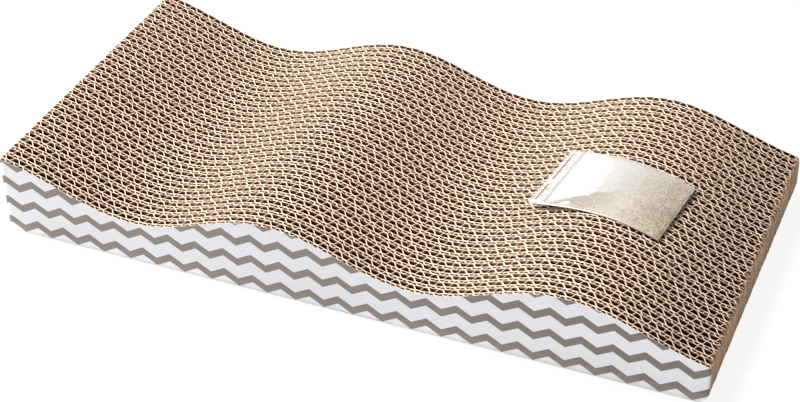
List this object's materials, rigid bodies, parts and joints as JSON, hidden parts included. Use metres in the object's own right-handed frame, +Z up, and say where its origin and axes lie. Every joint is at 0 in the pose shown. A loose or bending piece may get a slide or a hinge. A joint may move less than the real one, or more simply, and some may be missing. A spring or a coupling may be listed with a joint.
{
  "type": "cardboard cat scratcher",
  "caption": "Wave-topped cat scratcher of glued corrugated cardboard strips with a zigzag front face and a clear bag of dried catnip.",
  "frame": {"origin": "middle of the underside of the block", "axes": "+X along the wave to the low end, +Y from the printed front to the back, +Z up"},
  "size_m": [0.45, 0.2168, 0.0554],
  "materials": {
    "kraft_board": "uncoated kraft corrugated board, cut edges",
    "printed_board": "kraft board with a white outer liner and a grey zigzag stripe",
    "clear_film": "clear glossy polyethylene film",
    "zip": "clear press-to-close profile",
    "dried_herb": "crumbled dried herb"
  },
  "bodies": {
    "scratcher": {"printed_board": "printed_board", "board_02": "kraft_board", "board_03": "kraft_board", "board_04": "kraft_board", "board_05": "kraft_board", "board_06": "kraft_board", "board_07": "kraft_board", "board_08": "kraft_board", "board_09": "kraft_board", "board_10": "kraft_board", "board_11": "kraft_board", "board_12": "kraft_board", "board_13": "kraft_board", "board_14": "kraft_board", "board_15": "kraft_board", "board_16": "kraft_board", "board_17": "kraft_board", "board_18": "kraft_board", "board_19": "kraft_board", "board_20": "kraft_board", "board_21": "kraft_board", "board_22": "kraft_board", "board_23": "kraft_board", "board_24": "kraft_board", "board_25": "kraft_board", "board_26": "kraft_board", "board_27": "kraft_board", "board_28": "kraft_board", "board_29": "kraft_board", "board_30": "kraft_board", "board_31": "kraft_board", "board_32": "kraft_board", "back_board": "kraft_board"},
    "catnip_bag": {"bag_back_film": "clear_film", "bag_front_film": "clear_film", "zip_groove": "zip", "zip_rib": "zip", "catnip": "dried_herb"}
  },
  "joints": [
    {"name": "bag_lift", "type": "slide", "parent": "scratcher", "child": "catnip_bag", "axis": [0, 0, 1], "range_m": [0, 0.15]}
  ]
}
